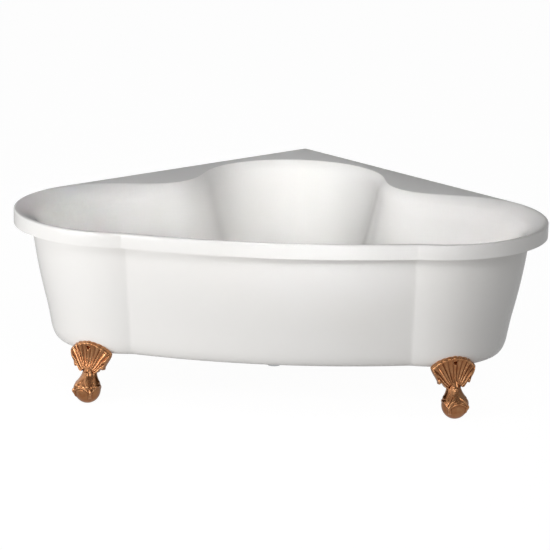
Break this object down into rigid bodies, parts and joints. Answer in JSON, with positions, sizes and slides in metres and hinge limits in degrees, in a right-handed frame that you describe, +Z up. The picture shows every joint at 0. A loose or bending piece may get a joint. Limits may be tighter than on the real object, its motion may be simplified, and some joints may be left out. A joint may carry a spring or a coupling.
{
  "type": "acrylic bathtub",
  "caption": "Corner bathtub with a lobed well, flat rear decks, drop lip and tapered skirt on copper claw feet, with a pop-up waste turned from the overflow.",
  "frame": {"origin": "on the floor, under the middle of the tub's bounding box", "axes": "+X to the right as seen from the bowed front, +Y to the rear corner, +Z up"},
  "size_m": [1.6776, 1.403, 0.575],
  "materials": {
    "white_acrylic": "polished vacuum-formed acrylic",
    "glass_fibre": "rough sprayed glass-fibre laminate",
    "timber": "sawn plywood and softwood",
    "black_steel": "black powder coat",
    "copper": "cast, polished and lacquered copper finish",
    "zinc_steel": "bright zinc plate",
    "chrome": "polished chrome plate",
    "black_rubber": "moulded rubber",
    "grey_plastic": "extruded pipe",
    "black_plastic": "injection-moulded plastic"
  },
  "bodies": {
    "tub": {"basin": "white_acrylic", "outer_skirt": "white_acrylic", "laminate_backing": "glass_fibre", "deck_panels": "timber", "rim_battens": "timber", "skirt_screws": "zinc_steel", "base_board": "timber", "cradle": "black_steel", "cradle_screws": "zinc_steel", "foot_left": "copper", "foot_right": "copper", "foot_rear": "copper", "foot_studs": "zinc_steel", "foot_washers": "zinc_steel", "foot_nuts": "zinc_steel", "foot_fixing_screws": "copper", "foot_fixing_nuts": "zinc_steel", "waste_flange": "chrome", "waste_gasket": "black_rubber", "waste_body": "black_plastic", "tailpiece": "chrome", "overflow_plate": "chrome", "overflow_gasket": "black_rubber", "overflow_elbow": "black_plastic", "overflow_pipe": "grey_plastic", "pipe_bend": "black_plastic", "slip_nuts": "black_plastic", "lift_cable": "black_rubber"},
    "knob": {"overflow_knob": "chrome"},
    "plug": {"waste_plug": "chrome", "plug_seal": "black_rubber"}
  },
  "joints": [
    {"name": "knob_turn", "type": "hinge", "parent": "tub", "child": "knob", "pos_m": [0, -0.57734, 0.47], "axis": [0, 0.9539, 0.3], "range_deg": [0, 90]},
    {"name": "plug_lift", "type": "slide", "parent": "tub", "child": "plug", "axis": [0, 0, 1], "range_m": [0, 0.01]}
  ],
  "couplings": [
    {"joint": "plug_lift", "follows": "knob_turn", "m_per_rad": 0.006366}
  ]
}
